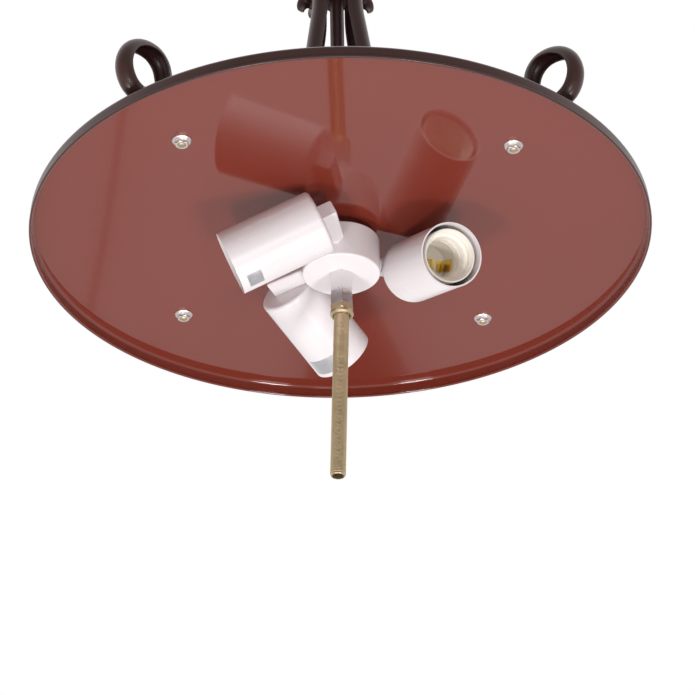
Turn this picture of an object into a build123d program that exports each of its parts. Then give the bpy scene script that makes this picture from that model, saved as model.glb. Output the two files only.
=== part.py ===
from build123d import *
import os
from math import sin, cos, radians, sqrt

# Three-light pendant, in millimetres, +Z up. A round pressed pan hangs from four
# scroll arms that gather at a boss with a hanging eye. Under the pan are a hub
# with three swivelling lampholders and a threaded rod that carries the bowl.
# The origin is the centre of the hanging eye. Levels are heights above the
# underside of the pan's plate.

# Pan
pan_radius = 207.5
pan_sheet = 1.2
pan_lip_level = -9.0         # the lip's lowest point
pan_corner = 2.2             # inner bend between plate and wall
lip_bead = 1.2               # radius of the rolled edge

# Arms, half-round channel bent in one plane with its hollow side inwards
arm_azimuths = [48.15, 138.15, 228.15, 318.15]
arm_half_width = 6.5
arm_wall = 1.3
arm_top_radius = 15.5        # the channel's open edges at the column
bolt_circle = 149.2
foot_length = 8.0            # straight stretch that rests on the plate
foot_bend = 10.0
leg_slope = 81.0             # degrees above level
leg_length = 30.5
shoulder_bend = 14.0         # inner leg into the crest of the loop
crest_bend = 18.7            # crest into the outer leg
crest_turn = 103.0
outer_bend = 19.7
outer_turn = 29.0
curl_bend = 9.0              # the loop's end, turning in over the pan's edge
curl_turn = 60.0
flare_lean = 10.0            # lean of the arm under its upright top, degrees
flare_bend = 100.0
upright_level = 192.5        # the arm stands upright from here
volute_level = 206.5         # centre of the outward curl at the top
volute_bend = 8.5
volute_turn = 250.0

# Bolts of the arms
bolt_radius = 2.5
bolt_head_radius = 4.4
bolt_head_height = 2.8
bolt_tip = 4.4               # how far the bolt stands out below the plate
bolt_play = 0.2
flange_radius = 6.2
flange_height = 1.2
flange_nut_flats = 8.0
flange_nut_height = 3.8

# Column and hanging eye
pipe_radius = 4.85
pipe_bore = 3.6
thread_play = 0.12           # between a thread and what it screws into
boss_neck_radius = 9.5
boss_neck_level = 196.5
boss_neck_height = 5.0
boss_body_height = 14.0
boss_round = 18.6            # the boss's corners are turned to this radius
boss_cap_radius = 12.0
boss_cap_height = 5.0
eye_level = 248.5
eye_bore = 8.0
eye_radius = 14.0
eye_thickness = 7.0
eye_collar_radius = 8.5
eye_collar_height = 16.0
pan_nut_flats = 15.0
pan_nut_height = 4.5
pan_washer_radius = 12.0
pan_washer_height = 1.5

# Hub
hub_radius = 25.9
hub_top = -6.1
hub_bottom = -32.8
hub_wall = 1.4
hub_edge = 1.5
lid_height = 3.4             # outer rim of the lid
lid_spigot = 3.0             # the lid's ring inside the shell
lid_play = 0.15
spacer_radius = 7.5

# Coupling, lock nuts and rod under the hub
coupling_flats = 14.2
coupling_length = 24.6
lock_nut_flats = 14.6
lock_nut_height = 4.4
star_radius = 7.7
star_height = 3.2
rod_radius = 5.05
rod_bore = 3.7
rod_end = -183.5
rod_grip = 11.0              # length of rod inside the coupling
rod_chamfer = 0.6
rod_neck_radius = 4.55       # plain neck that sits in the coupling and nuts
rod_neck_below = 1.0         # how far the neck shows under the last nut
rod_lean = 1.9               # the rod stands a little askew, degrees
rod_play = 0.42              # room in the coupling and nuts for that lean

# Sockets
socket_azimuths = [24.3, 143.2, 260.9]
socket_tilts = [20.8, 23.0, 23.4]      # mouth below level, degrees
swivel_level = -18.6
block_size = 11.0            # square section of the socket's arm
block_edge = 1.4
block_end = 58.0             # from the hub's axis
block_wall = 1.5
collar_radius = 5.4          # boss on the hub that the arm turns against
collar_end = 28.2
collar_back = 22.6
stem_radius = 3.5
stem_bore = 2.2
stem_grip = 9.0              # length of stem inside the arm
swivel_gap = 0.05            # running clearance round the stem
face_gap = 0.25              # between the arm's end and the hub's boss
swivel_nut_flats = 10.0
swivel_nut_height = 3.0
swivel_washer_radius = 5.6
swivel_washer_height = 0.8
cup_offset = 49.0            # cup's axis from the hub's axis
cup_radius = 21.5
cup_wall = 1.0
cup_length = 65.0
cup_edge = 2.4
nipple_radius = 4.0
nipple_bore = 2.6
nipple_length = 24.0
nipple_nut_flats = 12.0
nipple_nut_height = 3.0

# Lampholder, Edison screw for a 26 mm cap
holder_radius = 17.9
holder_body_radius = 16.4
holder_recess = 2.4          # its rim behind the cup's mouth
holder_length = 49.0
holder_flange = 12.5         # length of the wide front part
holder_rim_wall = 1.5
holder_throat_radius = 14.6
holder_throat_depth = 8.5
screw_radius = 13.3          # groove of the moulded thread
screw_crest = 12.7
screw_depth = 27.0
screw_pitch = 3.63
contact_width = 8.0
contact_sheet = 0.6
centre_contact_radius = 4.0

plate_z = -eye_level
column = Pos(0, 0, plate_z)


def turned(outline):
    """Spin a closed outline of (radius, level) points about the column."""
    return column * revolve(Plane.XZ * make_face(Polyline(*outline, close=True)), Axis.Z)


def tube(radius, bore, bottom, top):
    """A plain sleeve about the column's axis, between two levels."""
    sleeve = Cylinder(radius, top - bottom, align=(Align.CENTER, Align.CENTER, Align.MIN))
    hole = Cylinder(bore, top - bottom, align=(Align.CENTER, Align.CENTER, Align.MIN))
    return Pos(0, 0, bottom) * (sleeve - hole)


def hex_nut(flats, bore, height, chamfer_width=0.6):
    """A hexagon nut standing on z = 0, one corner towards -Y, its corners turned off."""
    prism = extrude(Rot(0, 0, 30) * RegularPolygon(flats / 2, 6, major_radius=False), height)
    corner = flats / sqrt(3)
    drum = chamfer(Cylinder(corner, height, align=(Align.CENTER, Align.CENTER, Align.MIN)).edges(),
                   chamfer_width)
    hole = Cylinder(bore, height, align=(Align.CENTER, Align.CENTER, Align.MIN))
    return (prism & drum) - hole


class Track:
    """A route in the plane y = 0, made of straights and bends from where it stands."""

    def __init__(self, x, z, heading):
        self.x, self.z, self.heading = x, z, heading
        self.pieces = []

    def straight(self, length):
        start = (self.x, 0, self.z)
        self.x += length * cos(radians(self.heading))
        self.z += length * sin(radians(self.heading))
        self.pieces.append(Line(start, (self.x, 0, self.z)))

    def bend(self, radius, turn):
        """Turn left by turn degrees, or right where turn is negative."""
        side = 90 if turn > 0 else -90
        hub_x = self.x + radius * cos(radians(self.heading + side))
        hub_z = self.z + radius * sin(radians(self.heading + side))
        points = [(hub_x - radius * cos(radians(self.heading + side + turn * share)), 0,
                   hub_z - radius * sin(radians(self.heading + side + turn * share)))
                  for share in (0, 0.5, 1)]
        self.pieces.append(ThreePointArc(*points))
        self.x, self.z = points[2][0], points[2][2]
        self.heading += turn


def pan():
    """Pressed sheet: a flat plate, a low upright wall and a rolled lip."""
    lip_radius = pan_radius - lip_bead
    lip_level = pan_lip_level + lip_bead
    wall_inside, wall_outside = lip_radius - pan_sheet / 2, lip_radius + pan_sheet / 2
    hole_radius = pipe_radius + thread_play
    below = [(hole_radius, 0), (wall_inside, 0), (wall_inside, lip_level)]
    above = [(wall_outside, lip_level), (wall_outside, pan_sheet), (hole_radius, pan_sheet)]
    outline = FilletPolyline(*below, *above, radius=(pan_corner, 0, 0, pan_corner + pan_sheet))
    sheet = make_face(outline + Line(above[-1], below[0]))
    bead = Pos(lip_radius, lip_level) * Circle(lip_bead)
    body = revolve(Plane.XZ * (sheet + bead), Axis.Z)
    hole = Cylinder(bolt_radius + bolt_play, 4 * pan_sheet)
    for azimuth in arm_azimuths:
        body -= Rot(0, 0, azimuth) * Pos(bolt_circle, 0, 0) * hole
    return column * body


def arm_track():
    """The open edges of one arm, from the curl at the top to the loop's end."""
    track = Track(arm_top_radius + volute_bend * (1 - cos(radians(volute_turn))),
                  volute_level + volute_bend * sin(radians(volute_turn)),
                  270 - volute_turn)
    track.bend(volute_bend, volute_turn)
    track.straight(volute_level - upright_level)
    track.bend(flare_bend, flare_lean)
    # One bend brings the leaning stretch down to the plate, level, where the foot
    # begins. Its radius follows from the drop and the distance still to go.
    drop = track.z - pan_sheet
    run = bolt_circle - foot_length / 2 - track.x
    lean = radians(flare_lean)
    long_bend = (run * cos(lean) - drop * sin(lean)) / (1 - sin(lean))
    track.straight((drop - long_bend * (1 - sin(lean))) / cos(lean))
    track.bend(long_bend, 90 - flare_lean)
    track.straight(foot_length)
    track.bend(foot_bend, leg_slope)
    track.straight(leg_length)
    track.bend(shoulder_bend, -leg_slope)
    track.bend(crest_bend, -crest_turn)
    track.bend(outer_bend, -outer_turn)
    track.bend(curl_bend, -curl_turn)
    return track


def scroll_arm(azimuth):
    """Half-round channel swept along the track, with a bolt hole in its foot."""
    track = arm_track()
    path = Wire([piece.edge() if hasattr(piece, "edge") else piece for piece in track.pieces])
    start = Plane(origin=path @ 0, x_dir=(0, 1, 0), z_dir=path % 0)
    half_round = Circle(arm_half_width) - Circle(arm_half_width - arm_wall)
    half_round &= Pos(0, arm_half_width) * Rectangle(2 * arm_half_width, 2 * arm_half_width)
    channel = sweep(start * half_round, path=path)
    hole = Cylinder(bolt_radius + bolt_play, 4 * arm_half_width)
    channel -= Pos(bolt_circle, 0, 0) * hole
    return column * Rot(0, 0, azimuth) * channel


def arm_bolts():
    """Pan-head bolts, heads on the arms' crowns, pointing down through the plate."""
    seat = pan_sheet + arm_half_width
    shank = Pos(0, 0, -bolt_tip) * Cylinder(bolt_radius, seat + bolt_tip,
                                            align=(Align.CENTER, Align.CENTER, Align.MIN))
    shank = chamfer(shank.edges().group_by(Axis.Z)[0], 0.5)
    head = Pos(0, 0, seat) * Cylinder(bolt_head_radius, bolt_head_height,
                                      align=(Align.CENTER, Align.CENTER, Align.MIN))
    head = fillet(head.edges().group_by(Axis.Z)[-1], bolt_head_height * 0.6)
    slot = Pos(0, 0, seat + bolt_head_height) * Box(bolt_head_radius * 1.1, 1.1, 2.4)
    cross = slot + Rot(0, 0, 90) * slot
    bolt = shank + head - cross
    return [column * Rot(0, 0, azimuth) * Pos(bolt_circle, 0, 0) * bolt for azimuth in arm_azimuths]


def flange_nuts():
    """Flange nuts under the plate."""
    flange = Cylinder(flange_radius, flange_height, align=(Align.CENTER, Align.CENTER, Align.MAX))
    flange = chamfer(flange.edges().group_by(Axis.Z)[0], flange_height * 0.5)
    hexagon = Pos(0, 0, -flange_nut_height) * hex_nut(flange_nut_flats, bolt_radius, flange_nut_height - 0.2)
    hole = Cylinder(bolt_radius + thread_play, 4 * flange_nut_height)
    nut = flange + hexagon - hole
    return [column * Rot(0, 0, azimuth) * Pos(bolt_circle, 0, 0) * nut for azimuth in arm_azimuths]


boss_body_level = boss_neck_level + boss_neck_height
boss_cap_level = boss_body_level + boss_body_height
eye_seat = boss_cap_level + boss_cap_height
pipe_top = eye_seat + eye_collar_height * 0.75
pipe_bottom = hub_bottom - coupling_length / 2 + 2
coupling_end = hub_bottom - coupling_length
pan_nut_level = pan_sheet + pan_washer_height


def column_pipe():
    """The pipe that runs from the eye down through pan and hub into the coupling."""
    return column * tube(pipe_radius, pipe_bore, pipe_bottom, pipe_top)


def arm_boss():
    """Turned boss with four flats; the arms' open edges lie on the flats."""
    neck = Pos(0, 0, boss_neck_level) * Cone(
        boss_neck_radius - 1, boss_neck_radius, boss_neck_height,
        align=(Align.CENTER, Align.CENTER, Align.MIN))
    body = Box(2 * arm_top_radius, 2 * arm_top_radius, boss_body_height,
               align=(Align.CENTER, Align.CENTER, Align.MIN))
    body &= Cylinder(boss_round, boss_body_height, align=(Align.CENTER, Align.CENTER, Align.MIN))
    cap = Cylinder(boss_cap_radius, boss_cap_height, align=(Align.CENTER, Align.CENTER, Align.MIN))
    cap = fillet(cap.edges().group_by(Axis.Z)[-1], boss_cap_height * 0.5)
    solid = neck + Pos(0, 0, boss_body_level) * Rot(0, 0, arm_azimuths[0]) * body
    solid += Pos(0, 0, boss_cap_level) * cap
    return column * (solid - Cylinder(pipe_radius + thread_play, 3 * eye_level))


def hanging_eye():
    """A flat ring on a threaded collar; its bore runs along Y."""
    ring = Rot(90, 0, 0) * Cylinder(eye_radius, eye_thickness)
    ring = fillet(ring.edges(), eye_thickness * 0.4)
    collar = Cylinder(eye_collar_radius, eye_collar_height,
                      align=(Align.CENTER, Align.CENTER, Align.MIN))
    collar = fillet(collar.edges().group_by(Axis.Z)[-1], 2.5)
    solid = Pos(0, 0, eye_level) * ring + Pos(0, 0, eye_seat) * collar
    solid -= Pos(0, 0, eye_seat) * Cylinder(
        pipe_radius + thread_play, eye_collar_height * 0.8,
        align=(Align.CENTER, Align.CENTER, Align.MIN))
    solid -= Pos(0, 0, eye_level) * Rot(90, 0, 0) * Cylinder(eye_bore, 2 * eye_thickness)
    return column * solid


def pan_nut():
    return column * Pos(0, 0, pan_nut_level) * hex_nut(pan_nut_flats, pipe_radius + thread_play, pan_nut_height)


def pan_washer():
    return column * tube(pan_washer_radius, pipe_radius + thread_play, pan_sheet, pan_nut_level)


def spacer():
    return column * tube(spacer_radius, pipe_radius + thread_play, hub_top, 0)


def swivel_axis(azimuth, tilt):
    """Where a socket is built: X runs out along its arm, Z along its cup to the mouth."""
    out = Vector(cos(radians(azimuth)), sin(radians(azimuth)), 0)
    level = Vector(sin(radians(azimuth)), -cos(radians(azimuth)), 0)
    towards_mouth = level * cos(radians(tilt)) - Vector(0, 0, 1) * sin(radians(tilt))
    return Plane(origin=(0, 0, plate_z + swivel_level), x_dir=out, z_dir=towards_mouth).location


def along_arm(radius, start, end):
    """A round bar on the swivel's axis."""
    bar = Cylinder(radius, end - start, align=(Align.CENTER, Align.CENTER, Align.MIN))
    return Pos(start, 0, 0) * Rot(0, 90, 0) * bar


def hub_shell():
    """A drawn cup, open below, with three bosses that the sockets turn in."""
    height = hub_top - hub_bottom - lid_height
    outside = Cylinder(hub_radius, height, align=(Align.CENTER, Align.CENTER, Align.MAX))
    outside = fillet(outside.edges().group_by(Axis.Z)[-1], hub_edge)
    inside = Pos(0, 0, -hub_wall) * Cylinder(hub_radius - hub_wall, height,
                                             align=(Align.CENTER, Align.CENTER, Align.MAX))
    shell = column * Pos(0, 0, hub_top) * (outside - inside)
    for azimuth in socket_azimuths:
        shell += swivel_axis(azimuth, 0) * along_arm(collar_radius, collar_back, collar_end)
    for azimuth in socket_azimuths:
        shell -= swivel_axis(azimuth, 0) * along_arm(stem_radius + swivel_gap, collar_back - 5, collar_end + 5)
    return shell - column * Cylinder(pipe_radius + thread_play, 3 * hub_radius)


def hub_lid():
    """The lid that closes the hub, with a ring that centres it in the shell."""
    plate = Cylinder(hub_radius, lid_height, align=(Align.CENTER, Align.CENTER, Align.MIN))
    plate = fillet(plate.edges().group_by(Axis.Z)[0], hub_edge)
    spigot_radius = hub_radius - hub_wall - lid_play
    spigot = Cylinder(spigot_radius, lid_height + lid_spigot, align=(Align.CENTER, Align.CENTER, Align.MIN))
    pocket = Pos(0, 0, hub_wall) * Cylinder(spigot_radius - hub_wall, lid_height + lid_spigot,
                                            align=(Align.CENTER, Align.CENTER, Align.MIN))
    hole = Cylinder(pipe_radius + thread_play, 3 * lid_height)
    return column * Pos(0, 0, hub_bottom) * (plate + spigot - pocket - hole)


def hex_coupling():
    """Long hexagon nut that joins the column's pipe to the rod."""
    nut = hex_nut(coupling_flats, pipe_radius + thread_play, coupling_length, 0.4)
    nut -= Cylinder(rod_radius + rod_play, coupling_length / 2 - 1,
                    align=(Align.CENTER, Align.CENTER, Align.MIN))
    return column * Pos(0, 0, coupling_end) * nut


def lock_nut():
    nut = hex_nut(lock_nut_flats, rod_radius + rod_play, lock_nut_height)
    return column * Pos(0, 0, coupling_end - lock_nut_height) * nut


def star_nut():
    """A thin turned nut under the lock nut, dished below."""
    top = coupling_end - lock_nut_height
    bottom = top - star_height
    bore = rod_radius + rod_play
    return turned([(bore, top), (star_radius, top), (star_radius, top - star_height * 0.6),
                   (star_radius - 0.9, bottom), (bore + 0.6, bottom), (bore, bottom + 0.6)])


def bowl_rod():
    """Threaded pipe for the bowl, standing slightly askew in the coupling."""
    length = coupling_end + rod_grip - rod_end
    neck = rod_grip + lock_nut_height + star_height + rod_neck_below
    rod = Cylinder(rod_radius, length - neck, align=(Align.CENTER, Align.CENTER, Align.MIN))
    rod = chamfer(rod.edges(), rod_chamfer)
    rod += Pos(0, 0, length - neck) * Cylinder(rod_neck_radius, neck, align=(Align.CENTER, Align.CENTER, Align.MIN))
    rod -= Cylinder(rod_bore, length, align=(Align.CENTER, Align.CENTER, Align.MIN))
    hung = Pos(0, 0, coupling_end) * Rot(0, rod_lean, 0) * Pos(0, 0, rod_end - coupling_end) * rod
    return column * hung


def arm_block():
    """Square arm of a socket: hollow, closed at both ends, stem hole in one, cup hole in a side."""
    start = collar_end + face_gap
    length = block_end - start
    block = Pos(start + length / 2, 0, 0) * Box(length, block_size, block_size)
    block = fillet(block.edges().filter_by(Axis.X), block_edge)
    block = fillet(block.faces().sort_by(Axis.X)[-1].edges(), block_edge * 0.5)
    hollow = block_size - 2 * block_wall
    room_start = start + stem_grip
    room = block_end - block_wall - room_start
    block -= Pos(room_start + room / 2, 0, 0) * Box(room, hollow, hollow)
    block -= along_arm(stem_radius, start - 1, room_start + 1)
    block -= Pos(cup_offset, 0, 0) * Cylinder(nipple_radius, block_size, align=(Align.CENTER, Align.CENTER, Align.MIN))
    return block


def swivel_stem():
    """Hollow threaded stem, fast in the arm and free to turn in the hub's boss."""
    start = collar_back - swivel_washer_height - swivel_nut_height - 1.6
    end = collar_end + face_gap + stem_grip
    return along_arm(stem_radius, start, end) - along_arm(stem_bore, start - 1, end + 1)


def swivel_washer():
    end = collar_back - face_gap / 2
    start = end - swivel_washer_height
    return along_arm(swivel_washer_radius, start, end) - along_arm(stem_radius, start - 1, end + 1)


def swivel_nut():
    end = collar_back - face_gap / 2 - swivel_washer_height
    nut = hex_nut(swivel_nut_flats, stem_radius, swivel_nut_height)
    return Pos(end - swivel_nut_height, 0, 0) * Rot(0, 90, 0) * nut


def cup_place():
    """The cup's own axis, from its back face."""
    return Pos(cup_offset, 0, block_size / 2)


def socket_cup():
    """Straight-sided metal cup with a rounded back edge and a hole for the nipple."""
    outside = Cylinder(cup_radius, cup_length, align=(Align.CENTER, Align.CENTER, Align.MIN))
    outside = fillet(outside.edges().group_by(Axis.Z)[0], cup_edge)
    inside = Pos(0, 0, cup_wall) * Cylinder(cup_radius - cup_wall, cup_length,
                                            align=(Align.CENTER, Align.CENTER, Align.MIN))
    inside = fillet(inside.edges().group_by(Axis.Z)[0], cup_edge - cup_wall)
    hole = Cylinder(nipple_radius, 4 * cup_wall)
    return cup_place() * (outside - inside - hole)


def cup_nipple():
    """Hollow nipple from the arm's room through the cup's back into the holder."""
    start = -block_wall - 2
    nipple = Pos(0, 0, start) * Cylinder(nipple_radius, nipple_length, align=(Align.CENTER, Align.CENTER, Align.MIN))
    bore = Pos(0, 0, start) * Cylinder(nipple_bore, nipple_length, align=(Align.CENTER, Align.CENTER, Align.MIN))
    return cup_place() * (nipple - bore)


def cup_nut():
    """Nut that clamps the cup's back to the arm."""
    return cup_place() * Pos(0, 0, cup_wall) * hex_nut(nipple_nut_flats, nipple_radius, nipple_nut_height)


holder_front = cup_length - holder_recess
holder_back = holder_front - holder_length


def lampholder():
    """Moulded holder: stepped outside, flared mouth, screw cavity with ribs for a thread."""
    body = Pos(0, 0, holder_back) * Cylinder(holder_body_radius, holder_length,
                                             align=(Align.CENTER, Align.CENTER, Align.MIN))
    body = fillet(body.edges().group_by(Axis.Z)[0], 2.0)
    front = Pos(0, 0, holder_front) * Cylinder(holder_radius, holder_flange,
                                               align=(Align.CENTER, Align.CENTER, Align.MAX))
    mouth = Pos(0, 0, holder_front) * Cone(
        holder_throat_radius, holder_radius - holder_rim_wall, holder_throat_depth,
        align=(Align.CENTER, Align.CENTER, Align.MAX))
    throat = holder_front - holder_throat_depth
    floor = throat - screw_depth
    cavity = Pos(0, 0, floor) * Cylinder(screw_crest, screw_depth + 1,
                                         align=(Align.CENTER, Align.CENTER, Align.MIN))
    solid = body + front - mouth - cavity
    grooves = int(screw_depth * 0.6 / screw_pitch)
    for turn in range(grooves):
        level = throat - screw_pitch * (turn + 1)
        solid -= Pos(0, 0, level) * Cylinder(screw_radius, screw_pitch * 0.5)
    nipple_hole = Pos(0, 0, holder_back) * Cylinder(nipple_radius, 2 * (floor - holder_back - 3))
    return cup_place() * (solid - nipple_hole)


def side_contact():
    """Bent brass strip up the side of the screw cavity."""
    throat = holder_front - holder_throat_depth
    floor = throat - screw_depth
    track = Track(2.2 + centre_contact_radius, floor + contact_sheet / 2 + 0.02, 0)
    track.straight(screw_crest - 4.8 - 2.2 - centre_contact_radius)
    track.bend(1.2, 76)
    track.straight(11.0)
    strip_path = Wire([piece for piece in track.pieces])
    start = Plane(origin=strip_path @ 0, x_dir=(0, 1, 0), z_dir=strip_path % 0)
    strip = sweep(start * Rectangle(contact_width, contact_sheet), path=strip_path)
    return cup_place() * strip


def centre_contact():
    """Brass tongue at the bottom of the cavity."""
    throat = holder_front - holder_throat_depth
    floor = throat - screw_depth
    track = Track(-8.5, floor + contact_sheet / 2 + 0.02, 0)
    track.straight(2.5)
    track.bend(2.5, 35)
    track.straight(5.0)
    track.bend(2.5, -35)
    track.straight(2.0)
    strip_path = Wire([piece for piece in track.pieces])
    start = Plane(origin=strip_path @ 0, x_dir=(0, 1, 0), z_dir=strip_path % 0)
    strip = sweep(start * Rectangle(contact_width * 0.75, contact_sheet), path=strip_path)
    return cup_place() * strip


def write(node, shapes):
    """One STEP file for a node, which may be a group of separate solids."""
    shapes = shapes if isinstance(shapes, list) else [shapes]
    solids = [solid for shape in shapes for solid in shape.solids()]
    export_step(solids[0] if len(solids) == 1 else Compound(children=solids), f"parts/{node}.step")


os.makedirs("parts", exist_ok=True)
write("pan", pan())
for number, azimuth in enumerate(arm_azimuths, start=1):
    write(f"scroll_arm_{number}", scroll_arm(azimuth))
write("arm_bolts", arm_bolts())
write("flange_nuts", flange_nuts())
write("column_pipe", column_pipe())
write("arm_boss", arm_boss())
write("hanging_eye", hanging_eye())
write("pan_nut", pan_nut())
write("pan_washer", pan_washer())
write("spacer", spacer())
write("hub_shell", hub_shell())
write("hub_lid", hub_lid())
write("hex_coupling", hex_coupling())
write("lock_nut", lock_nut())
write("star_nut", star_nut())
write("bowl_rod", bowl_rod())

socket_pieces = {
    "socket_arm": arm_block, "swivel_stem": swivel_stem, "swivel_washer": swivel_washer,
    "swivel_nut": swivel_nut, "socket_cup": socket_cup, "cup_nipple": cup_nipple, "cup_nut": cup_nut,
    "lampholder": lampholder, "side_contact": side_contact, "centre_contact": centre_contact,
}
for piece, make in socket_pieces.items():
    solid = make()
    for number, (azimuth, tilt) in enumerate(zip(socket_azimuths, socket_tilts), start=1):
        write(f"{piece}_{number}", swivel_axis(azimuth, tilt) * solid)
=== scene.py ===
# %% [markdown]
# # A three-light pendant, seen from below
# The lamp hangs by its eye. Four scroll arms hold a round pressed pan, and under the pan sit a hub,
# three swivelling lampholders and the threaded rod that would carry a glass bowl. The engineering model
# gives the frame: every solid in its place, in metres, with the origin in the middle of the eye's hole.
# This script keeps the solids that look right, gives each of them a finish, and builds again with bmesh
# the pieces whose curves or threads the picture shows more closely.

# %% Load the frame
import bpy
import bmesh
from math import cos, sin, pi, radians
from mathutils import Matrix, Vector


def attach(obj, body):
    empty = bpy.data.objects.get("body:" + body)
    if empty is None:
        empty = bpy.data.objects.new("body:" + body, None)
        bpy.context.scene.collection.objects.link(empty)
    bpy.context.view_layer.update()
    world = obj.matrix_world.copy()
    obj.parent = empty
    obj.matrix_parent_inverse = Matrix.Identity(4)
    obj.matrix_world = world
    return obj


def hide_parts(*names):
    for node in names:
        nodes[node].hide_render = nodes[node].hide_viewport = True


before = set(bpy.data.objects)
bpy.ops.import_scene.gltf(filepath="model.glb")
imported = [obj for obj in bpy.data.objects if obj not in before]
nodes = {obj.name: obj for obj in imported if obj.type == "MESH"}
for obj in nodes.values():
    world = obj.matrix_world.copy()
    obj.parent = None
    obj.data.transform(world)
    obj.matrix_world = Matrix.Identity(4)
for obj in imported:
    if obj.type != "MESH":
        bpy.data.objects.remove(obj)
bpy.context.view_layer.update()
print("solids loaded:", len(nodes))

# %% [markdown]
# ## Camera
# The picture is square. The camera stood 1.47 m in front of the lamp and 1.21 m under the eye, and
# looked up by 31 degrees through a long lens. A long lens keeps the far and the near arms almost the same
# size. The camera's three own directions are written out, so that the small roll is easy to see.

# %% Camera
picture_size = 695
focal_pixels = 2617.3
camera_place = Vector((0.0, -1.4683, -1.2103))
yaw, pitch, roll = radians(0.129), radians(30.74), radians(-1.023)

ahead = Vector((sin(yaw) * cos(pitch), cos(yaw) * cos(pitch), sin(pitch)))
level_right = Vector((cos(yaw), -sin(yaw), 0.0))
level_up = level_right.cross(ahead)
right = cos(roll) * level_right + sin(roll) * level_up
up = -sin(roll) * level_right + cos(roll) * level_up

camera_data = bpy.data.cameras.new("photo_camera")
camera_data.sensor_width = 36.0
camera_data.lens = 36.0 * focal_pixels / picture_size
camera = bpy.data.objects.new("photo_camera", camera_data)
camera.matrix_world = Matrix.Translation(camera_place) @ Matrix((right, up, -ahead)).transposed().to_4x4()
bpy.context.scene.collection.objects.link(camera)
bpy.context.scene.camera = camera
bpy.context.scene.view_settings.view_transform = "Standard"
print("lens in mm:", round(camera_data.lens, 1))

# %% [markdown]
# ## What the glossy plate mirrors
# The underside of the pan is a mirror that lies flat. A point of the picture on the plate shows what lies
# on the floor further back, so a card for a reflection is placed by following that bounced ray down.

# %% From a point of the picture to the floor it mirrors
plate_level = -0.2485
floor_level = -1.95


def picture_ray(px, py):
    """Direction from the camera through a point of the picture."""
    half = picture_size / 2
    return (focal_pixels * ahead + (px - half) * right - (py - half) * up).normalized()


def mirrored_floor_point(px, py):
    """The spot on the floor that the plate mirrors at this point of the picture."""
    ray = picture_ray(px, py)
    hit = camera_place + ray * ((plate_level - camera_place.z) / ray.z)
    down = Vector((ray.x, ray.y, -ray.z))
    return hit + down * ((floor_level - hit.z) / down.z)


print("middle of the plate mirrors", [round(v, 2) for v in mirrored_floor_point(340, 215)])

# %% [markdown]
# ## Studio
# A white sweep lies behind and below the lamp, and the room on the camera's side is darker. The world
# carries that: bright towards the back, dim towards the camera. Only the camera sees it as pure
# white.

# %% World
world = bpy.data.worlds.new("studio")
bpy.context.scene.world = world
world.use_nodes = True
tree = world.node_tree
tree.nodes.clear()
link = tree.links.new
place = tree.nodes.new("ShaderNodeTexCoord")
axes = tree.nodes.new("ShaderNodeSeparateXYZ")
depth = tree.nodes.new("ShaderNodeMapRange")
depth.interpolation_type = "SMOOTHSTEP"
depth.inputs["From Min"].default_value = -0.75
depth.inputs["From Max"].default_value = 0.35
depth.inputs["To Min"].default_value = 0.28
depth.inputs["To Max"].default_value = 1.0
path = tree.nodes.new("ShaderNodeLightPath")
room = tree.nodes.new("ShaderNodeBackground")
room.inputs["Color"].default_value = (1.0, 0.965, 0.965, 1.0)
white = tree.nodes.new("ShaderNodeBackground")
white.inputs["Color"].default_value = (1.0, 1.0, 1.0, 1.0)
choose = tree.nodes.new("ShaderNodeMixShader")
world_out = tree.nodes.new("ShaderNodeOutputWorld")
link(place.outputs["Generated"], axes.inputs["Vector"])
link(axes.outputs["Y"], depth.inputs["Value"])
link(depth.outputs["Result"], room.inputs["Strength"])
link(path.outputs["Is Camera Ray"], choose.inputs["Fac"])
link(room.outputs["Background"], choose.inputs[1])
link(white.outputs["Background"], choose.inputs[2])
link(choose.outputs["Shader"], world_out.inputs["Surface"])
print("world nodes:", len(tree.nodes))

# %% [markdown]
# Two soft lamps stand low on the left and the right and throw the sockets' shadows on the plate. A weaker
# and larger one near the camera fills in from the front, to light the inside of the open lampholder.

# %% Lamps of the studio
key_aim, key_size, key_power = (0, 0, -0.28), 0.24, 8.0
fill_aim, fill_size, fill_power = (0, 0, -0.3), 0.5, 4.0


def soft_lamp(name, place, aim, size, power):
    """A square soft lamp that looks from its place towards a point."""
    data = bpy.data.lights.new(name, "AREA")
    data.size = size
    data.energy = power
    lamp = bpy.data.objects.new(name, data)
    turn = (Vector(aim) - Vector(place)).to_track_quat("-Z", "Y")
    lamp.matrix_world = Matrix.Translation(place) @ turn.to_matrix().to_4x4()
    bpy.context.scene.collection.objects.link(lamp)


soft_lamp("key_left", (-0.50, -0.60, -1.6), key_aim, key_size, key_power)
soft_lamp("key_right", (0.50, -0.60, -1.6), key_aim, key_size, key_power)
soft_lamp("fill", (0.1, -1.7, -1.25), fill_aim, fill_size, fill_power)
print("studio lamps: 3")

# %% [markdown]
# ## Shader groups
# A finish is never one flat colour. The group *cloudy* breaks a colour and a gloss into soft patches, and
# the group *peel* gives the faint orange skin of sprayed paint as a normal. Both are built once.

# %% Helper for shader groups


def new_group(name, inputs, outputs):
    """An empty shader group with named sockets: (name, kind, value)."""
    group = bpy.data.node_groups.new(name, "ShaderNodeTree")
    for socket, kind, value in inputs:
        made = group.interface.new_socket(socket, in_out="INPUT", socket_type=kind)
        if value is not None:
            made.default_value = value
    for socket, kind in outputs:
        group.interface.new_socket(socket, in_out="OUTPUT", socket_type=kind)
    entry = group.nodes.new("NodeGroupInput")
    leave = group.nodes.new("NodeGroupOutput")
    return group, entry, leave


COLOUR, NUMBER, VECTOR = "NodeSocketColor", "NodeSocketFloat", "NodeSocketVector"

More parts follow.
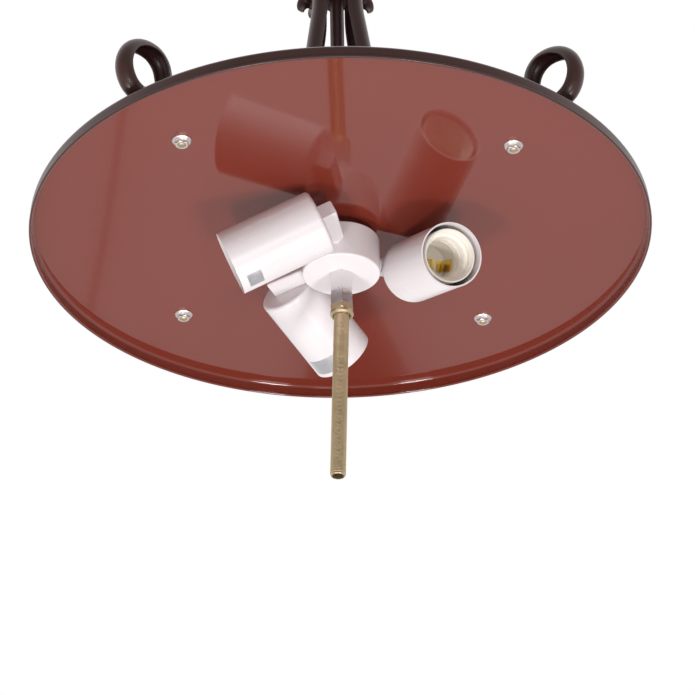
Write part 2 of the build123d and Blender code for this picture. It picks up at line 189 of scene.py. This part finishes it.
# %% Group: cloudy patches of colour and gloss
cloudy, entry, leave = new_group(
    "cloudy",
    [("Scale", NUMBER, 20.0), ("Colour A", COLOUR, None), ("Colour B", COLOUR, None),
     ("Rough A", NUMBER, 0.2), ("Rough B", NUMBER, 0.3)],
    [("Colour", COLOUR), ("Roughness", NUMBER)])
spot = cloudy.nodes.new("ShaderNodeTexCoord")
cloud = cloudy.nodes.new("ShaderNodeTexNoise")
cloud.inputs["Detail"].default_value = 4.0
tone = cloudy.nodes.new("ShaderNodeMix")
tone.data_type = "RGBA"
gloss = cloudy.nodes.new("ShaderNodeMix")
link = cloudy.links.new
link(spot.outputs["Object"], cloud.inputs["Vector"])
link(entry.outputs["Scale"], cloud.inputs["Scale"])
link(cloud.outputs["Fac"], tone.inputs[0])
link(entry.outputs["Colour A"], tone.inputs[6])
link(entry.outputs["Colour B"], tone.inputs[7])
link(cloud.outputs["Fac"], gloss.inputs[0])
link(entry.outputs["Rough A"], gloss.inputs[2])
link(entry.outputs["Rough B"], gloss.inputs[3])
link(tone.outputs[2], leave.inputs["Colour"])
link(gloss.outputs[0], leave.inputs["Roughness"])
print("group cloudy:", len(cloudy.nodes), "nodes")

# %% Group: orange peel
peel, entry, leave = new_group(
    "peel", [("Scale", NUMBER, 300.0), ("Depth", NUMBER, 0.1)], [("Normal", VECTOR)])
spot = peel.nodes.new("ShaderNodeTexCoord")
skin = peel.nodes.new("ShaderNodeTexNoise")
skin.inputs["Detail"].default_value = 2.0
bump = peel.nodes.new("ShaderNodeBump")
bump.inputs["Distance"].default_value = 0.0004
link = peel.links.new
link(spot.outputs["Object"], skin.inputs["Vector"])
link(entry.outputs["Scale"], skin.inputs["Scale"])
link(entry.outputs["Depth"], bump.inputs["Strength"])
link(skin.outputs["Fac"], bump.inputs["Height"])
link(bump.outputs["Normal"], leave.inputs["Normal"])
print("group peel:", len(peel.nodes), "nodes")

# %% [markdown]
# ## Finishes
# One helper starts every finish: a Principled shader fed by *cloudy* and *peel*. What is the same all
# over the piece, such as metalness or coat, is set on the shader itself.

# %% Helper for finishes


def finish(name, colours, rough, scale=20.0, peel_scale=300.0, peel_depth=0.0, metallic=0.0, coat=0.0,
           coat_rough=0.05, ior=1.5):
    """A finish with cloudy colour and gloss; colours and rough are pairs."""
    made = bpy.data.materials.new(name)
    made.use_nodes = True
    nodes_here = made.node_tree.nodes
    shader = nodes_here["Principled BSDF"]
    shader.inputs["Metallic"].default_value = metallic
    shader.inputs["Coat Weight"].default_value = coat
    shader.inputs["Coat Roughness"].default_value = coat_rough
    shader.inputs["IOR"].default_value = ior
    patches = nodes_here.new("ShaderNodeGroup")
    patches.node_tree = cloudy
    patches.inputs["Scale"].default_value = scale
    patches.inputs["Colour A"].default_value = (*colours[0], 1.0)
    patches.inputs["Colour B"].default_value = (*colours[1], 1.0)
    patches.inputs["Rough A"].default_value = rough[0]
    patches.inputs["Rough B"].default_value = rough[1]
    made.node_tree.links.new(patches.outputs["Colour"], shader.inputs["Base Color"])
    made.node_tree.links.new(patches.outputs["Roughness"], shader.inputs["Roughness"])
    if peel_depth:
        skin_here = nodes_here.new("ShaderNodeGroup")
        skin_here.node_tree = peel
        skin_here.inputs["Scale"].default_value = peel_scale
        skin_here.inputs["Depth"].default_value = peel_depth
        made.node_tree.links.new(skin_here.outputs["Normal"], shader.inputs["Normal"])
    return made


# %% Paints, plating, brass and porcelain
red_lacquer = finish("red_lacquer", [(0.175, 0.026, 0.014), (0.200, 0.031, 0.018)], (0.05, 0.08), 6,
                     900, 0.03, coat=0.6, coat_rough=0.03)
bronze_lacquer = finish("bronze_lacquer", [(0.046, 0.018, 0.015), (0.070, 0.028, 0.024)], (0.28, 0.38), 25,
                        700, 0.12, coat=0.1)
white_enamel = finish("white_enamel", [(0.80, 0.755, 0.765), (0.84, 0.80, 0.81)], (0.22, 0.30), 30, 800, 0.1)
zinc = finish("zinc", [(0.78, 0.75, 0.73), (0.92, 0.90, 0.88)], (0.32, 0.46), 260, 1500, 0.15, metallic=1.0)
yellow_zinc = finish("yellow_zinc", [(0.50, 0.46, 0.25), (0.72, 0.54, 0.40)], (0.36, 0.50), 160, 1200, 0.15,
                     metallic=1.0)
porcelain = finish("porcelain", [(0.84, 0.79, 0.70), (0.90, 0.86, 0.78)], (0.25, 0.34), 60, 900, 0.08)
brass = finish("brass", [(0.80, 0.55, 0.13), (0.88, 0.63, 0.18)], (0.12, 0.22), 120, 1200, 0.05, metallic=1.0)
label_foil = finish("label_foil", [(0.55, 0.57, 0.60), (0.75, 0.77, 0.80)], (0.25, 0.45), 300, metallic=0.9)
print("finishes:", len(bpy.data.materials))

# %% [markdown]
# The hub was sprayed white after the coupling was screwed on, so paint covers the coupling's upper half
# and fades into specks below. The mask is the height, which a noise lifts by up to the reach of a speck
# before it is compared with the two levels between which the paint sets in.

# %% Oversprayed coupling
paint_starts, paint_covers = -0.2905, -0.2865
speck_reach = 0.016
oversprayed = finish("oversprayed_zinc", [(0.42, 0.41, 0.42), (0.60, 0.59, 0.60)], (0.30, 0.45), 260,
                     1500, 0.2)
wet_nodes, wet_link = oversprayed.node_tree.nodes, oversprayed.node_tree.links.new
spray_place = wet_nodes.new("ShaderNodeTexCoord")
spray_height = wet_nodes.new("ShaderNodeSeparateXYZ")
specks = wet_nodes.new("ShaderNodeTexNoise")
specks.inputs["Scale"].default_value = 900.0
wander = wet_nodes.new("ShaderNodeMath")
wander.operation = "MULTIPLY_ADD"
wander.inputs[1].default_value = speck_reach
paint_edge = wet_nodes.new("ShaderNodeMapRange")
paint_edge.inputs["From Min"].default_value = paint_starts
paint_edge.inputs["From Max"].default_value = paint_covers
painted = wet_nodes.new("ShaderNodeMix")
painted.data_type = "RGBA"
painted.inputs[7].default_value = (0.72, 0.68, 0.69, 1.0)
bare = wet_nodes.new("ShaderNodeMath")
bare.operation = "SUBTRACT"
bare.inputs[0].default_value = 1.0
wet_link(spray_place.outputs["Object"], specks.inputs["Vector"])
wet_link(spray_place.outputs["Object"], spray_height.inputs["Vector"])
wet_link(specks.outputs["Fac"], wander.inputs[0])
wet_link(spray_height.outputs["Z"], wander.inputs[2])
wet_link(wander.outputs["Value"], paint_edge.inputs["Value"])
wet_link(paint_edge.outputs["Result"], painted.inputs[0])
wet_link(oversprayed.node_tree.nodes["Group"].outputs["Colour"], painted.inputs[6])
wet_shader = wet_nodes["Principled BSDF"]
wet_link(painted.outputs[2], wet_shader.inputs["Base Color"])
wet_link(paint_edge.outputs["Result"], bare.inputs[1])
wet_link(bare.outputs["Value"], wet_shader.inputs["Metallic"])
print("oversprayed coupling:", len(wet_nodes), "nodes")

# %% [markdown]
# ## Every solid gets its finish
# The solids that stay keep their mesh. Only the materials in their slots change. The coupling has its
# overspray, and the arms' bolts are yellow zinc where their nuts are bright.

# %% Dress the solids
finish_of_slot = {
    "bronze_paint": bronze_lacquer, "white_paint": white_enamel, "zinc": zinc,
    "yellow_zinc": yellow_zinc, "porcelain": porcelain, "brass": brass,
}
for solid in nodes.values():
    for material_slot in solid.material_slots:
        material_slot.material = finish_of_slot[material_slot.material.name.split(".")[0]]
nodes["hex_coupling"].material_slots[0].material = oversprayed
for material_slot in nodes["arm_bolts"].material_slots:
    material_slot.material = yellow_zinc
print("dressed:", len(nodes))

# %% [markdown]
# ## A helper that turns a bmesh into a piece
# It closes the work on every new piece in the same way: doubles merged, normals turned outwards, smooth
# shading with sharp edges kept, and the piece set to ride on its body.

# %% Helper for new pieces


def make_piece(shape, name, body, finishes, stands_for=(), sharp=35.0):
    """Make a finished object from a bmesh, riding on a body of the frame."""
    bmesh.ops.remove_doubles(shape, verts=shape.verts, dist=1e-6)
    bmesh.ops.recalc_face_normals(shape, faces=shape.faces)
    mesh = bpy.data.meshes.new(name)
    shape.to_mesh(mesh)
    shape.free()
    mesh.shade_smooth()
    mesh.set_sharp_from_angle(angle=radians(sharp))
    for one in finishes:
        mesh.materials.append(one)
    piece = bpy.data.objects.new(name, mesh)
    bpy.context.scene.collection.objects.link(piece)
    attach(piece, body)
    if stands_for:
        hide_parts(*stands_for)
    print(name, len(mesh.polygons), "faces")


# %% [markdown]
# ## Drawing a section with a travelling vertex
# Turned pieces start as a line in the plane y = 0. A single vertex is pushed along straight runs with
# extrude and round corners with spin, and the line it leaves is the section that is turned about the
# piece's axis.

# %% Helper: a pen that draws a section


class Pen:
    """A vertex that draws a line in the plane y = 0, in millimetres."""

    def __init__(self, shape, x, z):
        self.shape = shape
        self.tip = shape.verts.new((x / 1000, 0, z / 1000))

    def to(self, x, z):
        """Extrude the tip to a new point."""
        made = bmesh.ops.extrude_vert_indiv(self.shape, verts=[self.tip])
        self.tip = made["verts"][0]
        self.tip.co = (x / 1000, 0, z / 1000)

    def arc(self, centre_x, centre_z, degrees, steps):
        """Spin the tip round a centre; positive turns from +X towards +Z."""
        made = bmesh.ops.spin(self.shape, geom=[self.tip], cent=(centre_x / 1000, 0, centre_z / 1000),
                              axis=(0, -1, 0), angle=radians(degrees), steps=steps)
        self.tip = [part for part in made["geom_last"] if isinstance(part, bmesh.types.BMVert)][0]


def turn_section(shape, steps=128):
    """Turn everything in the shape once round the Z axis."""
    bmesh.ops.spin(shape, geom=shape.verts[:] + shape.edges[:], cent=(0, 0, 0), axis=(0, 0, 1),
                   angle=2 * pi, steps=steps, use_merge=True)


# %% [markdown]
# ## The pan
# Pressed sheet: a flat plate, a small round corner, an upright wall and a rolled lip. It is turned again
# here with 192 steps, because its glossy rim shows any flat. The red paint below and the dark bronze
# outside meet on the lip, so the faces are told apart there.

# %% Pan
plate_mm = plate_level * 1000
pan_sheet, pan_hole = 1.2, 5.0
plate_edge, corner_bend = 203.5, 2.2
wall_inside, wall_outside, wall_end = 205.7, 206.9, 7.0
lip_middle, lip_depth = 206.3, 7.8
paints_meet, paint_margin = 0.2061, 0.0001
pan_shape = bmesh.new()
pen = Pen(pan_shape, pan_hole, plate_mm)
pen.to(plate_edge, plate_mm)
pen.arc(plate_edge, plate_mm - corner_bend, -90, 6)
pen.to(wall_inside, plate_mm - wall_end)
pen.arc(lip_middle, plate_mm - lip_depth, 300, 14)
pen.to(wall_outside, plate_mm - corner_bend)
pen.arc(plate_edge, plate_mm - corner_bend, 90, 8)
pen.to(pan_hole, plate_mm + pan_sheet)
pen.to(pan_hole, plate_mm)
turn_section(pan_shape, 192)
for face in pan_shape.faces:
    middle = face.calc_center_median()
    reach = (middle.x ** 2 + middle.y ** 2) ** 0.5
    below = middle.z < plate_level + paint_margin and reach < paints_meet
    face.material_index = 0 if below else 1
make_piece(pan_shape, "pan_pressing", "fixture", [red_lacquer, bronze_lacquer], ["pan"])

# %% [markdown]
# ## The scroll arms
# A real arm is one strip of half-round channel, bent over round formers. The script bends it in the same
# way: the section's edges are extruded along each straight and spun round the middle of each bend. The
# loops stand a little askew on their bolts, so what lies beyond the bolt is turned about it.

# %% Helper: a bending bench for channel


class Channel:
    """Half-round channel led along a route in the plane y = 0, hollow side to the right."""

    def __init__(self, shape, x, z, heading, outer=6.5, wall=1.3, steps=14):
        self.shape, self.x, self.z, self.heading = shape, x, z, heading
        along = Vector((cos(radians(heading)), 0, sin(radians(heading))))
        sides = []
        for radius in (outer, outer - wall):
            edge = shape.verts.new((x / 1000, -radius / 1000, z / 1000))
            bmesh.ops.spin(shape, geom=[edge], cent=(x / 1000, 0, z / 1000), axis=along,
                           angle=-pi, steps=steps)
            shape.verts.ensure_lookup_table()
            sides.append((edge, shape.verts[-1]))
        for end in (0, 1):
            shape.edges.new((sides[0][end], sides[1][end]))
        self.section = shape.edges[:]
        bmesh.ops.edgeloop_fill(shape, edges=self.section)

    def straight(self, length):
        """Extrude the section straight ahead."""
        step = Vector((cos(radians(self.heading)), 0, sin(radians(self.heading)))) * length / 1000
        made = bmesh.ops.extrude_edge_only(self.shape, edges=self.section)["geom"]
        self.section = [part for part in made if isinstance(part, bmesh.types.BMEdge)
                        and all(v in made for v in part.verts)]
        new_verts = list({v for part in self.section for v in part.verts})
        bmesh.ops.translate(self.shape, verts=new_verts, vec=step)
        self.x += step.x * 1000
        self.z += step.z * 1000

    def bend(self, radius, turn, steps):
        """Spin the section round a former; a positive turn goes left."""
        side = self.heading + (90 if turn > 0 else -90)
        hub_x = self.x + radius * cos(radians(side))
        hub_z = self.z + radius * sin(radians(side))
        verts = list({v for part in self.section for v in part.verts})
        made = bmesh.ops.spin(self.shape, geom=verts + self.section, cent=(hub_x / 1000, 0, hub_z / 1000),
                              axis=(0, -1, 0), angle=radians(turn), steps=steps)
        self.section = [part for part in made["geom_last"] if isinstance(part, bmesh.types.BMEdge)]
        self.x = hub_x - radius * cos(radians(side + turn))
        self.z = hub_z - radius * sin(radians(side + turn))
        self.heading += turn

    def close(self):
        """Fill the end of the channel."""
        bmesh.ops.edgeloop_fill(self.shape, edges=self.section)


# %% Scroll arms
bolt_circle = 149.2
upright_reach, upright_level = 15.5, 192.5
volute_bend, volute_turn, volute_level = 8.5, 250.0, 206.5
flare_bend, flare_lean = 100.0, 10.0
foot_length, foot_bend, leg_slope, leg_length = 8.0, 8.9, 76.2, 34.5
shoulder_bend = 11.1
crest_bend, crest_turn = 22.7, 85.0
outer_bend, outer_turn = 15.5, 43.0
end_bend, end_turn = 10.0, 60.0


def bend_arm(shape):
    """One arm, from the curl at the top to the loop's end, above the plate's level."""
    arm = Channel(shape, upright_reach + volute_bend * (1 - cos(radians(volute_turn))),
                  volute_level + volute_bend * sin(radians(volute_turn)), 270 - volute_turn)
    arm.bend(volute_bend, volute_turn, 36)
    arm.straight(volute_level - upright_level)
    arm.bend(flare_bend, flare_lean, 4)
    drop = arm.z - pan_sheet
    run = bolt_circle - foot_length / 2 - arm.x
    lean = radians(flare_lean)
    long_bend = (run * cos(lean) - drop * sin(lean)) / (1 - sin(lean))
    arm.straight((drop - long_bend * (1 - sin(lean))) / cos(lean))
    arm.bend(long_bend, 90 - flare_lean, 40)
    arm.straight(foot_length)
    arm.bend(foot_bend, leg_slope, 14)
    arm.straight(leg_length)
    arm.bend(shoulder_bend, -leg_slope, 14)
    arm.bend(crest_bend, -crest_turn, 20)
    arm.bend(outer_bend, -outer_turn, 10)
    arm.bend(end_bend, -end_turn, 12)
    arm.close()


askew = {1: 4.4, 2: -4.4, 3: 4.4, 4: -4.4}
arm_azimuths = {1: 48.15, 2: 138.15, 3: 228.15, 4: 318.15}
for number, azimuth in arm_azimuths.items():
    arm_shape = bmesh.new()
    bend_arm(arm_shape)
    loop_verts = [v for v in arm_shape.verts if v.co.x > (bolt_circle + foot_length / 2 - 0.5) / 1000]
    bmesh.ops.rotate(arm_shape, verts=loop_verts, cent=(bolt_circle / 1000, 0, 0),
                     matrix=Matrix.Rotation(radians(askew[number]), 3, "Z"))
    bmesh.ops.rotate(arm_shape, verts=arm_shape.verts, cent=(0, 0, 0),
                     matrix=Matrix.Rotation(radians(azimuth), 3, "Z"))
    bmesh.ops.translate(arm_shape, verts=arm_shape.verts, vec=(0, 0, plate_level))
    make_piece(arm_shape, f"bent_arm_{number}", "fixture", [bronze_lacquer],
               [f"scroll_arm_{number}"])

# %% [markdown]
# ## The threaded rod
# A thread is a bar that winds round a core. Its small cross section is spun with a push along the axis in
# each step, which is what the dvec of spin is for, and both ends are filled.

# %% Helper: a wound ridge


def wind_ridge(shape, section, pitch, doublings, steps):
    """Wind one turn of a closed (radius, level) section in millimetres, then double it so many times."""
    ridge = bmesh.new()
    corners = [ridge.verts.new((r / 1000, 0, z / 1000)) for r, z in section]
    ring = [ridge.edges.new((corners[i - 1], corners[i])) for i in range(len(corners))]
    bmesh.ops.spin(ridge, geom=corners + ring, cent=(0, 0, 0), axis=(0, 0, 1),
                   angle=2 * pi, dvec=(0, 0, pitch / 1000 / steps), steps=steps)
    turns = 1
    for _ in range(doublings):
        copied = bmesh.ops.duplicate(ridge, geom=ridge.verts[:] + ridge.edges[:] + ridge.faces[:])
        moved = [part for part in copied["geom"] if isinstance(part, bmesh.types.BMVert)]
        bmesh.ops.translate(ridge, verts=moved, vec=(0, 0, turns * pitch / 1000))
        turns *= 2
    bmesh.ops.remove_doubles(ridge, verts=ridge.verts, dist=1e-6)
    bmesh.ops.holes_fill(ridge, edges=[e for e in ridge.edges if e.is_boundary], sides=0)
    wound = bpy.data.meshes.new("ridge")
    ridge.to_mesh(wound)
    ridge.free()
    shape.from_mesh(wound)
    bpy.data.meshes.remove(wound)


# %% Rod
coupling_end = plate_level * 1000 - 57.4
rod_free, rod_inside = 126.1, 11.0
rod_core, rod_bore, rod_tip, tip_chamfer = 4.65, 3.7, 4.35, 0.4
rod_lean = 1.9
thread_start, thread_ends = 0.8, 1.8
thread_doublings = 7
thread_section = [(4.55, 0.0), (5.05, 0.3), (5.05, 0.55), (4.55, 0.85)]
rod_shape = bmesh.new()
ridge_pitch = (rod_free - thread_ends) / 2 ** thread_doublings
wind_ridge(rod_shape, thread_section, ridge_pitch, thread_doublings, 24)
bmesh.ops.translate(rod_shape, verts=rod_shape.verts, vec=(0, 0, (thread_start - rod_free) / 1000))
pen = Pen(rod_shape, rod_bore, -rod_free)
pen.to(rod_tip, -rod_free)
pen.to(rod_core, -rod_free + tip_chamfer)
pen.to(rod_core, rod_inside)
pen.to(rod_bore, rod_inside)
pen.to(rod_bore, -rod_free)
line = [e for e in rod_shape.edges if not e.link_faces]
bmesh.ops.spin(rod_shape, geom=list({v for e in line for v in e.verts}) + line, cent=(0, 0, 0),
               axis=(0, 0, 1), angle=2 * pi, steps=48, use_merge=True)
lean = Matrix.Translation((0, 0, coupling_end / 1000)) @ Matrix.Rotation(radians(rod_lean), 4, "Y")
bmesh.ops.transform(rod_shape, matrix=lean, verts=rod_shape.verts)
make_piece(rod_shape, "threaded_rod", "fixture", [yellow_zinc], ["bowl_rod"])

# %% [markdown]
# ## The lampholders
# Each holder sits in a cup whose axis swings with its socket. The holder is turned about +Z with its mouth
# up, and the matrix of the socket then puts it in its place.

# %% Where a socket sits
socket_azimuths = {1: 24.3, 2: 143.2, 3: 260.9}
socket_tilts = {1: 20.8, 2: 23.0, 3: 23.4}
swivel_drop, cup_offset, cup_back = 0.0186, 0.049, 0.0055


def cup_matrix(number):
    """From the cup's own axis, its back at z = 0, to the frame."""
    azimuth, tilt = radians(socket_azimuths[number]), radians(socket_tilts[number])
    out = Vector((cos(azimuth), sin(azimuth), 0))
    mouth = Vector((sin(azimuth), -cos(azimuth), 0)) * cos(tilt) - Vector((0, 0, sin(tilt)))
    turn = Matrix((out, mouth.cross(out), mouth)).transposed().to_4x4()
    hub = Matrix.Translation((0, 0, plate_level - swivel_drop))
    return hub @ turn @ Matrix.Translation((cup_offset, 0, cup_back))


# %% Lampholders
holder_outside = [(4.0, 13.6), (14.4, 13.6), (16.4, 15.6), (16.4, 50.1), (17.9, 50.6), (17.9, 62.0)]
holder_rim = [(17.5, 62.6), (16.9, 62.6), (16.6, 62.2), (16.0, 59.2), (15.6, 58.9), (15.5, 56.4),
              (15.2, 56.1), (13.9, 55.8), (13.6, 55.4), (13.5, 54.0), (13.3, 53.6)]
holder_cavity = [(13.3, 44.0), (12.7, 43.6), (12.7, 27.6), (12.2, 27.1), (4.0, 27.1), (4.0, 13.6)]
screw_ridge = [(13.4, 44.2), (12.75, 45.2), (12.55, 45.7), (12.75, 46.2), (13.4, 47.2)]
screw_pitch = 3.0
for number in socket_azimuths:
    holder = bmesh.new()
    pen = Pen(holder, *holder_outside[0])
    for x, z in holder_outside[1:] + holder_rim + holder_cavity:
        pen.to(x, z)
    turn_section(holder, 96)
    wind_ridge(holder, screw_ridge, screw_pitch, 1, 72)
    bmesh.ops.transform(holder, matrix=cup_matrix(number), verts=holder.verts)
    make_piece(holder, f"screw_holder_{number}", f"socket_{number}", [porcelain],
               [f"lampholder_{number}"], sharp=50)

# %% [markdown]
# ## Blank labels
# Two cups carry a small foil label near the mouth. Each is a short upright line spun through part of a
# turn just above the cup's surface, then given a thin wall.

# %% Labels
label_radius, label_sheet = 21.52, 0.00006
label_places = [(3, -97, 30, 50.0, 60.0), (2, -132, 80, 50.0, 62.0)]
for number, start, sweep, low, high in label_places:
    label = bmesh.new()
    pen = Pen(label, label_radius, low)
    pen.to(label_radius, high)
    bmesh.ops.rotate(label, verts=label.verts, cent=(0, 0, 0),
                     matrix=Matrix.Rotation(radians(start), 3, "Z"))
    bmesh.ops.spin(label, geom=label.verts[:] + label.edges[:], cent=(0, 0, 0), axis=(0, 0, 1),
                   angle=radians(sweep), steps=16)
    bmesh.ops.recalc_face_normals(label, faces=label.faces)
    bmesh.ops.solidify(label, geom=label.faces[:], thickness=label_sheet)
    bmesh.ops.transform(label, matrix=cup_matrix(number), verts=label.verts)
    make_piece(label, f"blank_label_{number}", f"socket_{number}", [label_foil])

# %% [markdown]
# ## The floor
# A plain pale floor, one large square. It lies mostly behind the lamp, because that is the part that the
# plate mirrors towards the camera.

# %% Floor
floor_half, floor_shift = 9.0, 3.0
floor_shape = bmesh.new()
bmesh.ops.create_grid(floor_shape, x_segments=1, y_segments=1, size=floor_half,
                      matrix=Matrix.Translation((0, floor_shift, floor_level)))
floor_mesh = bpy.data.meshes.new("studio_floor")
floor_shape.to_mesh(floor_mesh)
floor_shape.free()
floor_mesh.materials.append(finish("pale_floor", [(0.80, 0.78, 0.78), (0.84, 0.82, 0.82)], (0.6, 0.7), 2))
floor = bpy.data.objects.new("studio_floor", floor_mesh)
bpy.context.scene.collection.objects.link(floor)
print("floor at", floor_level)

# %% [markdown]
# ## Cards on the floor
# A dark wedge and dark strips for the shaded folds of a white cloth lie on the floor where the plate
# faces them. They are painted shade, there only for the plate to show as a painted reflection. They are
# flat cards, hidden from the camera and from diffuse light, and they cast no shadow.

# %% Cards for the reflections
card_lift = 0.004


def floor_card(name, outline, shade):
    """Lay a flat card whose corners are what the plate faces at these points of the picture."""
    card_shape = bmesh.new()
    lifted = Vector((0, 0, card_lift))
    corners = [card_shape.verts.new(mirrored_floor_point(px, py) + lifted) for px, py in outline]
    for count in range(len(corners)):
        card_shape.edges.new((corners[count - 1], corners[count]))
    bmesh.ops.triangle_fill(card_shape, edges=card_shape.edges[:], use_beauty=True)
    print(name, len(card_shape.faces), "faces")
    card_mesh = bpy.data.meshes.new(name)
    card_shape.to_mesh(card_mesh)
    card_shape.free()
    card_mesh.materials.append(shade)
    card = bpy.data.objects.new(name, card_mesh)
    bpy.context.scene.collection.objects.link(card)
    card.visible_camera = card.visible_diffuse = card.visible_shadow = False


# Painted shade: the wedge and the fold strips are dark so that the plate shows a painted reflection.
wedge_painted_shade = finish("wedge_painted_shade", [(0.02, 0.016, 0.016), (0.04, 0.03, 0.03)], (0.8, 0.9), 3)
fold_shade = finish("fold_shade", [(0.10, 0.08, 0.08), (0.16, 0.13, 0.13)], (0.8, 0.9), 3)
wedge_pixels = [(262, 40), (338, 235), (344, 235), (470, 40)]
floor_card("wedge", wedge_pixels, wedge_painted_shade)
fold_half_pixels = 2.2
fold_pixels = [
    [(163, 100), (170, 130), (180, 160), (190, 200), (206, 250), (222, 300), (226, 340)],
    [(120, 118), (124, 150), (140, 190), (152, 232), (160, 290), (190, 345)],
    [(80, 155), (100, 190), (122, 250), (150, 300), (160, 325)],
    [(50, 190), (70, 230), (104, 280), (128, 318)],
    [(246, 80), (254, 110), (262, 140), (270, 175)],
    [(205, 90), (212, 120), (222, 150), (228, 190)],
]
for count, fold in enumerate(fold_pixels, start=1):
    left_side = [(px - fold_half_pixels, py) for px, py in fold]
    right_side = [(px + fold_half_pixels, py) for px, py in reversed(fold)]
    floor_card(f"fold_{count}", left_side + right_side, fold_shade)
print("cards:", 1 + len(fold_pixels))
